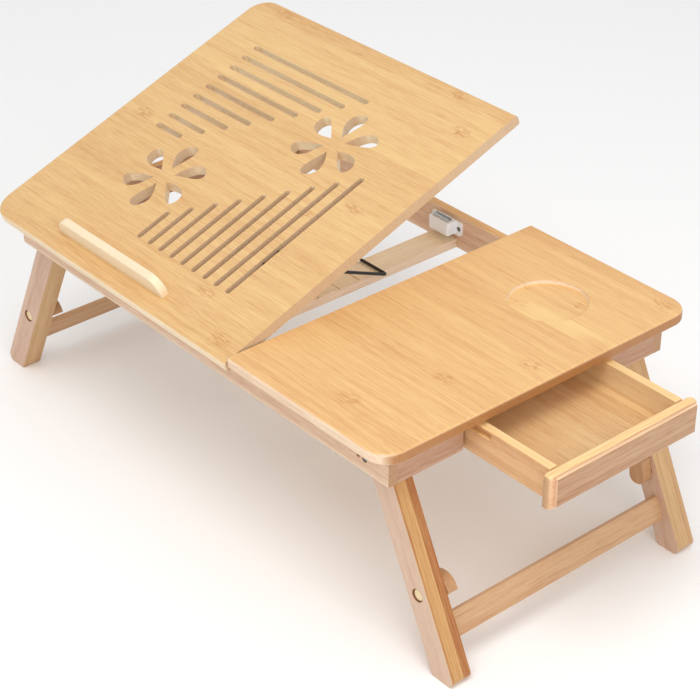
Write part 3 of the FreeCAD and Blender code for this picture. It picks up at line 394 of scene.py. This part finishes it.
def shade_and_brown_hole(tree, coordinates, colour, turn, hole, radius_mm):
    """Painted shade and a drill's brown on the wall of a hole across the grain, up to its radius about
    hole.
    """
    local = add(tree, "Mapping", {"Vector": coordinates.outputs["Object"], "Location": hole,
                                  "Rotation": turn}, vector_type="TEXTURE")
    flat_on = add(tree, "VectorMath", {0: local.outputs[0], 1: (1.0, 0.0, 1.0)}, operation="MULTIPLY")
    reach = add(tree, "VectorMath", {0: flat_on.outputs[0]}, operation="LENGTH")
    shaded_brown = add(tree, "MapRange", {"Value": reach.outputs["Value"], "From Min": radius_mm * MM,
                                     "From Max": (radius_mm - SHADED_BROWN_MM) * MM, "To Max": SHADED_BROWN_SHARE})
    return add(tree, "Mix", {"Factor": shaded_brown.outputs[0], "A": colour, "B": linear(DRILLED_SHADE_AND_BROWN)},
               data_type="RGBA").outputs["Result"]


# Browned here means painted shade along with a drill's brown.
print("a drilled wall is browned", SHADED_BROWN_MM, "mm deep")

# %% [markdown]
# ### The whole finish
# Satin lacquer has the refraction of a clear varnish, about 1.5, and fills most of the grain. So the
# fibres show under it as colour, and on it only as a faint ripple and a small change of gloss.

# %% The bamboo finish
LACQUER_IOR = 1.5
LACQUER_ROUGHNESS = (0.36, 0.52)
RIPPLE_STRENGTH = 0.25
RIPPLE_MM = 0.15


def bamboo(name, middle, along, face, colours, strips_mm, contrast=0.4, layers=None, knuckles=(),
           pale_strips=(), shaded_burns=(), recess=None):
    """Laminated bamboo in a board's own axes: x along the grain, y across the wide face, z through it.

    colours gives (hex, spread) for the wide face, the narrow edge and the end grain. layers, where
    given, is (layers, depth in mm) and stands instead of chance strips. knuckles and pale_strips list
    (x, y, length, width) in mm from the middle of the wide face. shaded_burns lists (place, radius in mm)
    of drilled holes, whose mouths get painted shade along with a drill's brown, and recess gives (place,
    radius in mm) of a turned dish, whose cove keeps the pale edge colour, partly as a painted highlight.
    """
    finish, tree = new_finish(name)
    turn = lie(along, face)
    coordinates = add(tree, "TexCoord")
    place = add(tree, "Mapping", {"Vector": coordinates.outputs["Object"], "Location": middle,
                                  "Rotation": turn}, vector_type="TEXTURE").outputs[0]
    if layers:
        strip, glue = layer_tones(tree, place, *layers), 0.0
    else:
        strip, glue = strip_tones(tree, place, strips_mm, contrast)
    fibre = streaks(tree, place, FIBRE_MM, 4.0, Roughness=FIBRE_ROUGHNESS)
    tone = long_tone(tree, place, strip, glue, fibre, knuckles, pale_strips)

    wide, edge, end = colours
    on_end = squareness(tree, coordinates, along, SQUARE_TO_END)
    # In the cup's dish the end colour is cleared, so its cove shows the pale edge colour all round: partly
    # a painted highlight.
    if recess:
        on_end = outside_dish(tree, coordinates, on_end, *recess)
    colour = add(tree, "Mix", {"Factor": squareness(tree, coordinates, face, SQUARE_TO_FACE),
                               "A": wood_colour(tree, tone, *edge),
                               "B": wood_colour(tree, tone, *wide)}, data_type="RGBA").outputs["Result"]
    colour = add(tree, "Mix", {"Factor": on_end, "A": colour,
                               "B": wood_colour(tree, end_tone(tree, place, strip, glue), *end)},
                 data_type="RGBA").outputs["Result"]
    # Painted shade in the drilled mouths, along with a drill's brown.
    for hole, radius_mm in shaded_burns:
        colour = shade_and_brown_hole(tree, coordinates, colour, turn, hole, radius_mm)

    gloss = add(tree, "MapRange", {"Value": fibre, "To Min": LACQUER_ROUGHNESS[0],
                                   "To Max": LACQUER_ROUGHNESS[1]})
    ripple = add(tree, "Bump", {"Height": fibre, "Strength": RIPPLE_STRENGTH, "Distance": RIPPLE_MM * MM})
    shader = add(tree, "BsdfPrincipled", {"Base Color": colour, "Roughness": gloss.outputs[0],
                                          "Normal": ripple.outputs[0], "IOR": LACQUER_IOR})
    add(tree, "OutputMaterial", {"Surface": shader.outputs[0]})
    return finish


def middle_of(name):
    """The middle of a piece's box at rest."""
    low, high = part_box(name)
    return (Vector(low) + Vector(high)) / 2


print("the lacquer's roughness runs from", LACQUER_ROUGHNESS[0], "to", LACQUER_ROUGHNESS[1])

# %% [markdown]
# ## The two panels
# Both panels are one ply of wide honey-coloured strips, laid so that the grain runs along the tray.
# Their sanded edges are paler and pinker than the faces, and their sawn ends are browner. The tilt of
# the hinged panel is read from the way that a laptop's edge leans on it, so the grain keeps lying in
# the panel whatever angle the stand was made at.

# %% Panel bamboo
PANEL_STRIPS_MM = (21.0, 30.0)
PANEL_CONTRAST = 0.24
# Both panels are one bamboo; the hinged panel's body colour is set a little darker as painted shade, which
# offsets the stronger light on its tilted face.
HINGED_COLOURS = (("DEB57C", 0.42), ("F0DAB6", 0.35), ("D2B492", 0.50))
# The fixed panel's edge colour, which also fills the cove of the cup's dish, is partly a painted highlight:
# it is set paler than the sanded edges' own colour.
FIXED_COLOURS = (("E4B67A", 0.40), ("EBCFB0", 0.35), ("AE7846", 0.55))
# Each spot is x, y, length and width, from the middle of its panel.
HINGED_KNUCKLES_MM = ((-133, 166, 30, 14), (112, 166, 26, 13), (149, 132, 28, 16), (-147, -5, 26, 14),
                      (135, 12, 30, 13), (152, -157, 30, 16), (102, -15, 24, 12), (97, -128, 28, 14))
FIXED_KNUCKLES_MM = ((71, 5, 26, 18), (41, -62, 26, 18), (13, -138, 26, 18), (76, 158, 26, 13),
                     (-8, 74, 18, 14), (27, 107, 16, 14))
FIXED_PALE_STRIPS_MM = ((31, 71, 110, 20),)
CUP_RADIUS_MM = 37.0
LENGTHWISE, ACROSS, UPRIGHT = (1, 0, 0), (0, 1, 0), (0, 0, 1)

mounts = {mount["name"]: mount for mount in frame["record"]["mounts"]}
_, up_slope, rise = mounts["laptop_edge"]["axis"]
tilt = math.atan2(rise, up_slope)
panel_normal = (0.0, -math.sin(tilt), math.cos(tilt))
coat_pieces(bamboo("lacquered_bamboo_hinged_panel", middle_of("tilt_panel"), LENGTHWISE, panel_normal,
                   HINGED_COLOURS, PANEL_STRIPS_MM, PANEL_CONTRAST, knuckles=HINGED_KNUCKLES_MM),
            "tilt_panel")
coat_pieces(bamboo("lacquered_bamboo_fixed_panel", middle_of("fixed_panel"), LENGTHWISE, UPRIGHT,
                   FIXED_COLOURS, PANEL_STRIPS_MM, PANEL_CONTRAST, knuckles=FIXED_KNUCKLES_MM,
                   pale_strips=FIXED_PALE_STRIPS_MM, recess=(mounts["cup_rest"]["pos_m"], CUP_RADIUS_MM)),
            "fixed_panel")
print("panel tilt in degrees:", round(math.degrees(tilt), 2))

# %% [markdown]
# ## Frame and drawer
# The boards under the top are glued from narrow strips stood on edge, so their faces show bands of
# two tones. Each board runs in its own direction. The bar that the prop stands on and the drawer's
# sides are cut from paler stalks, and the bar and the drawer's back side, back and stop are made
# paler still as painted light, which makes up for the shade under the hinged panel. The drawer's
# bottom is a thin ply of coarser, browner strips.

# %% Frame and drawer bamboo
NARROW_STRIPS_MM = (9.0, 9.0)
BOTTOM_STRIPS_MM = (17.0, 9.0)
APRON_COLOURS = (("DFBC9E", 0.65), ("E8B878", 0.40), ("B08862", 0.35))
RAIL_COLOURS = (("B88F72", 0.75), ("E8B878", 0.40), ("B08862", 0.35))
# Painted light: the bar is coloured paler than its bamboo, making up for the shade under the hinged panel.
BAR_COLOURS_WITH_PAINTED_LIGHT = (("FBEACB", 0.25), ("F2DABE", 0.3), ("C8A078", 0.30))
DRAWER_SIDE_COLOURS = (("DDB080", 0.45), ("EFCB90", 0.3), ("E0BC8C", 0.2))
# Painted light: the drawer's back side, back and stop are paler than the front side, making up for the
# shade under the hinged panel.
DRAWER_BACK_COLOURS_WITH_PAINTED_LIGHT = (("E8C898", 0.3), ("EFCB90", 0.3), ("E0BC8C", 0.2))
RIM_COLOURS = (("DDB08A", 0.35), ("F4CE94", 0.40), ("BE946E", 0.3))
PLATE_COLOURS = (("B88F6C", 0.75), ("E8C49C", 0.3), ("D9B08C", 0.3))
BOTTOM_COLOURS = (("E0B682", 0.46), ("E6B67E", 0.3), ("E6B67E", 0.3))
BOARDS = (
    (("front_apron", "back_apron"), LENGTHWISE, ACROSS, APRON_COLOURS, NARROW_STRIPS_MM),
    (("left_rail", "right_rail_front", "right_rail_back"), ACROSS, LENGTHWISE, RAIL_COLOURS,
     NARROW_STRIPS_MM),
    (("cross_bar",), ACROSS, UPRIGHT, BAR_COLOURS_WITH_PAINTED_LIGHT, NARROW_STRIPS_MM),
    (("drawer_guide_front", "drawer_guide_back", "drawer_runners"), LENGTHWISE, ACROSS, APRON_COLOURS,
     NARROW_STRIPS_MM),
    (("drawer_side_front",), LENGTHWISE, ACROSS, DRAWER_SIDE_COLOURS, NARROW_STRIPS_MM),
    (("drawer_side_back",), LENGTHWISE, ACROSS, DRAWER_BACK_COLOURS_WITH_PAINTED_LIGHT, NARROW_STRIPS_MM),
    (("drawer_back", "drawer_stop"), ACROSS, LENGTHWISE, DRAWER_BACK_COLOURS_WITH_PAINTED_LIGHT, NARROW_STRIPS_MM),
    (("drawer_front",), ACROSS, LENGTHWISE, RIM_COLOURS, NARROW_STRIPS_MM),
    (("drawer_face_plate",), ACROSS, LENGTHWISE, PLATE_COLOURS, NARROW_STRIPS_MM),
    (("drawer_bottom",), LENGTHWISE, UPRIGHT, BOTTOM_COLOURS, BOTTOM_STRIPS_MM),
)
for names, along, face, colours, strips_mm in BOARDS:
    for name in names:
        finish = bamboo("lacquered_bamboo_" + name, middle_of(name), along, face, colours, strips_mm)
        coat_pieces(finish, name)
print("frame and drawer boards:", sum(len(board[0]) for board in BOARDS))

# %% [markdown]
# ## Legs and turn buttons
# The legs' outer faces are tan, and their narrow faces paler and pinker. The front right leg is glued
# from two stalks, so its outer face shows a tan band beside a browner one. A leg's direction is worked
# out from how far its pair can fold, which is a right angle plus its splay. Each turn button swings on
# a pale dowel that shows in a drilled mouth, darkened as painted shade along with a drill's brown.

# %% Leg bamboo
LEG_COLOURS = (("C8A274", 0.45), ("CFAC94", 0.42), ("C9A078", 0.3))
TWO_LAYER_COLOURS = (("C08E58", 0.66), ("D0AE96", 0.42), ("C9A078", 0.3))
BUTTON_COLOURS = (("BC9068", 0.45), ("BC9068", 0.4), ("B08862", 0.3))
STRETCHER_COLOURS = (("C79E76", 0.5), ("CCA47C", 0.4), ("C9A078", 0.3))
DOWEL_COLOURS = (("F4E3C0", 0.12), ("F4E3C0", 0.12), ("F0D9AC", 0.12))
DOWEL_CONTRAST = 0.1
TWO_LAYER_LEG = "leg_front_right"
LEG_DEPTH_MM = 20.0
# Millimetres across the leg from its middle, and the tone there: a brown line near -9, the tan layer up
# to 0.6, a pale line up to 1.8, and the brown layer.
TWO_LAYERS = ((-9.6, 0.6), (-9.2, 0.1), (-8.4, 0.15), (-7.8, 0.6), (0.6, 0.66), (1.0, 0.95), (1.8, 0.9),
              (2.4, 0.2), (7.5, 0.1), (10.0, 0.04))
# The dowel's mouth is darkened out to this radius: painted shade with a drill's brown.
MOUTH_RADIUS_MM = 6.3

joints = {joint["name"]: joint for joint in frame["record"]["behaviour"]["joints"]}
splay = math.radians(joints["right_legs_fold"]["range_deg"][1] - 90)
for side, outwards in (("right", 1), ("left", -1)):
    leg_along = Vector((outwards * math.sin(splay), 0, -math.cos(splay)))
    leg_face = Vector((math.cos(splay), 0, outwards * math.sin(splay)))
    for end in ("front", "back"):
        leg = "leg_%s_%s" % (end, side)
        button = "turn_button_%s_%s" % (end, side)
        dowel = "button_dowel_%s_%s" % (end, side)
        two_layers = leg == TWO_LAYER_LEG
        coat_pieces(bamboo("lacquered_bamboo_" + leg, middle_of(leg), leg_along, leg_face,
                           TWO_LAYER_COLOURS if two_layers else LEG_COLOURS, NARROW_STRIPS_MM,
                           layers=(TWO_LAYERS, LEG_DEPTH_MM) if two_layers else None,
                           shaded_burns=((middle_of(dowel), MOUTH_RADIUS_MM),)), leg)
        coat_pieces(bamboo("lacquered_bamboo_" + button, middle_of(button), leg_along, ACROSS,
                           BUTTON_COLOURS, NARROW_STRIPS_MM), button)
        coat_pieces(bamboo("bamboo_" + dowel, middle_of(dowel), ACROSS, UPRIGHT, DOWEL_COLOURS,
                           NARROW_STRIPS_MM, DOWEL_CONTRAST), dowel)
    stretcher = "stretcher_" + side
    coat_pieces(bamboo("lacquered_bamboo_" + stretcher, middle_of(stretcher), ACROSS, leg_face,
                       STRETCHER_COLOURS, NARROW_STRIPS_MM), stretcher)
print("leg splay in degrees:", round(math.degrees(splay), 2))

# %% [markdown]
# ## The ledge
# The ledge that stops a laptop is cut from the pale inner side of the stalk, so it is cream-coloured and
# shows almost no strips. It stands square to the hinged panel, and its grain runs along its length. The
# same finish as the boards' does, with a paler body colour and less contrast.

# %% Ledge bamboo
LEDGE_COLOURS = (("F2DDBB", 0.10), ("F2DDBB", 0.10), ("F0D9B4", 0.1))
LEDGE_CONTRAST = 0.12
ledge_face = (0.0, up_slope, rise)
for name in ("ledge", "ledge_dowels"):
    coat_pieces(bamboo("pale_bamboo_" + name, middle_of(name), LENGTHWISE, ledge_face, LEDGE_COLOURS,
                       NARROW_STRIPS_MM, LEDGE_CONTRAST), name)
print("the ledge faces up a slope of", round(math.degrees(tilt), 2), "degrees")

# %% [markdown]
# ## Catch, wire and hardware
# The magnetic catch is moulded in white ABS, whose skin is smooth with a very fine grain from the
# mould. The prop is steel wire in black paint. Hinges, screws, pins and the catch's pole plates are
# zinc plated: a bright grey with faint cloudy patches from the plating bath. The catch's screws and the
# legs' pivot pins sit in holes, and their darker, duller grey is painted shade. The magnet is ground
# ferrite, nearly black and matt. One noise drives colour, gloss and relief in all five.

# %% Moulded, painted and plated finishes
RELIEF_STRENGTH = 0.3
METAL = 1.0


def speckled(name, colours, size_mm, roughness, bump_mm, metallic=0.0):
    """A surface whose colour and gloss drift between two values in patches of the given size."""
    finish, tree = new_finish(name)
    coordinates = add(tree, "TexCoord")
    patches = add(tree, "TexNoise", {"Vector": coordinates.outputs["Object"], "Scale": 1 / (size_mm * MM),
                                     "Detail": 4.0})
    colour = add(tree, "Mix", {"Factor": patches.outputs[0], "A": linear(colours[0]),
                               "B": linear(colours[1])}, data_type="RGBA")
    gloss = add(tree, "MapRange", {"Value": patches.outputs[0], "To Min": roughness[0],
                                   "To Max": roughness[1]})
    relief = add(tree, "Bump", {"Height": patches.outputs[0], "Strength": RELIEF_STRENGTH,
                                "Distance": bump_mm * MM})
    shader = add(tree, "BsdfPrincipled", {"Base Color": colour.outputs["Result"], "Metallic": metallic,
                                          "Roughness": gloss.outputs[0], "Normal": relief.outputs[0]})
    add(tree, "OutputMaterial", {"Surface": shader.outputs[0]})
    return finish


white_abs = speckled("moulded_white_abs", ("EFF3F8", "FAFBFD"), 1.2, (0.3, 0.42), 0.02)
black_paint = speckled("painted_black_steel", ("141312", "262422"), 2.5, (0.3, 0.45), 0.03)
zinc_plate = speckled("zinc_plated_steel", ("B4B7B9", "D2D4D4"), 3.0, (0.34, 0.5), 0.01, METAL)
# Painted shade: the catch's screws and the pivot pins, which sit in holes, get a darker and duller zinc.
zinc_in_shade = speckled("shaded_zinc_steel", ("5E6062", "8A8C8D"), 2.0, (0.4, 0.55), 0.01, METAL)
ferrite = speckled("ground_ferrite", ("1E1D1D", "322F2E"), 0.8, (0.55, 0.7), 0.03)
HARDWARE = (
    (white_abs, ("catch_housing",)),
    (black_paint, ("prop_wire", "prop_saddles", "prop_saddle_screws")),
    (ferrite, ("catch_magnet",)),
    (zinc_in_shade, ("catch_screws", "leg_pivot_pins")),
    (zinc_plate, ("catch_pole_plates", "strike_plate", "strike_screw", "hinge_fixed_leaves",
                  "hinge_moving_leaves", "hinge_pins", "hinge_fixed_screws", "hinge_moving_screws")),
)
for finish, names in HARDWARE:
    coat_pieces(finish, *names)
print("moulded, painted and metal pieces:", sum(len(names) for _, names in HARDWARE))

# %% [markdown]
# ## Broken edges
# A maker runs sandpaper over every sawn edge, and that small round catches the light as a thin line. The
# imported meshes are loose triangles, so a Weld modifier joins them first, and a Bevel modifier then
# rounds only edges that turn sharply. Both stay live, so the pieces themselves aren't changed.

# %% Sand the edges
BOARD_ROUND_MM = 0.7
LEG_ROUND_MM = 1.2
ROUND_SEGMENTS = 2
WELD_REACH_MM = 0.01
SHARP_TURN = math.radians(40)
SANDED_BOARDS = ("front_apron", "back_apron", "left_rail", "right_rail_front", "right_rail_back",
                 "cross_bar", "drawer_side_front", "drawer_side_back", "drawer_back", "stretcher_right",
                 "stretcher_left")
SANDED_LEGS = ("leg_front_right", "leg_front_left", "leg_back_right", "leg_back_left")
for names, round_mm in ((SANDED_BOARDS, BOARD_ROUND_MM), (SANDED_LEGS, LEG_ROUND_MM)):
    for name in names:
        weld = nodes[name].modifiers.new("join_triangles", "WELD")
        weld.merge_threshold = WELD_REACH_MM * MM
        sand = nodes[name].modifiers.new("sanded_edge", "BEVEL")
        sand.width = round_mm * MM
        sand.segments = ROUND_SEGMENTS
        sand.limit_method = "ANGLE"
        sand.angle_limit = SHARP_TURN
print("sanded pieces:", len(SANDED_BOARDS) + len(SANDED_LEGS))

# %% [markdown]
# ## Floor and light
# A sheet of white paper and white walls give the soft, nearly shadowless light of a catalogue picture.
# A large soft lamp high in front models the forms, a smaller one low on the right lights the drawer's
# end, and the sky around them is an even white. A sky picture would do, but it would bring a file.

# %% Floor
# Paper scatters light almost evenly, so it is matt; it reaches far enough to have no visible edge.
FLOOR_HALF = 20.0
PAPER_ROUGHNESS = 0.8
floor_mesh = bpy.data.meshes.new("floor")
corners = np.array([(-1, -1, 0), (1, -1, 0), (1, 1, 0), (-1, 1, 0)]) * FLOOR_HALF
floor_mesh.from_pydata(corners.tolist(), [], [(0, 1, 2, 3)])
floor = bpy.data.objects.new("floor", floor_mesh)
bpy.context.scene.collection.objects.link(floor)
paper, paper_tree = new_finish("white_paper_floor")
paper_shader = add(paper_tree, "BsdfPrincipled", {"Base Color": linear("FAFAFA"),
                                                  "Roughness": PAPER_ROUGHNESS})
add(paper_tree, "OutputMaterial", {"Surface": paper_shader.outputs[0]})
floor_mesh.materials.append(paper)
print("the floor is", 2 * FLOOR_HALF, "m wide")

# %% Light
SKY_STRENGTH = 0.74
LAMP_AIM = Vector((0.0, 0.0, 0.15))
# Name, place, side in metres and power in watts.
SOFTBOXES = (("overhead_softbox", (0.5, -0.9, 2.2), 1.2, 20.0),
             ("side_softbox", (1.7, -0.5, 1.1), 1.0, 9.5))
sky = bpy.data.worlds.new("white_room")
sky.use_nodes = True
background = sky.node_tree.nodes["Background"]
background.inputs["Color"].default_value = (1, 1, 1, 1)
background.inputs["Strength"].default_value = SKY_STRENGTH
bpy.context.scene.world = sky
for name, place, size, power in SOFTBOXES:
    lamp_data = bpy.data.lights.new(name, "AREA")
    lamp_data.energy = power
    lamp_data.size = size
    lamp = bpy.data.objects.new(name, lamp_data)
    lamp.location = place
    lamp.rotation_euler = (LAMP_AIM - Vector(place)).to_track_quat("-Z", "Y").to_euler()
    bpy.context.scene.collection.objects.link(lamp)
bpy.context.scene.view_settings.view_transform = "Standard"
print("lamps:", len(SOFTBOXES), "with", sum(power for _, _, _, power in SOFTBOXES), "W in all")
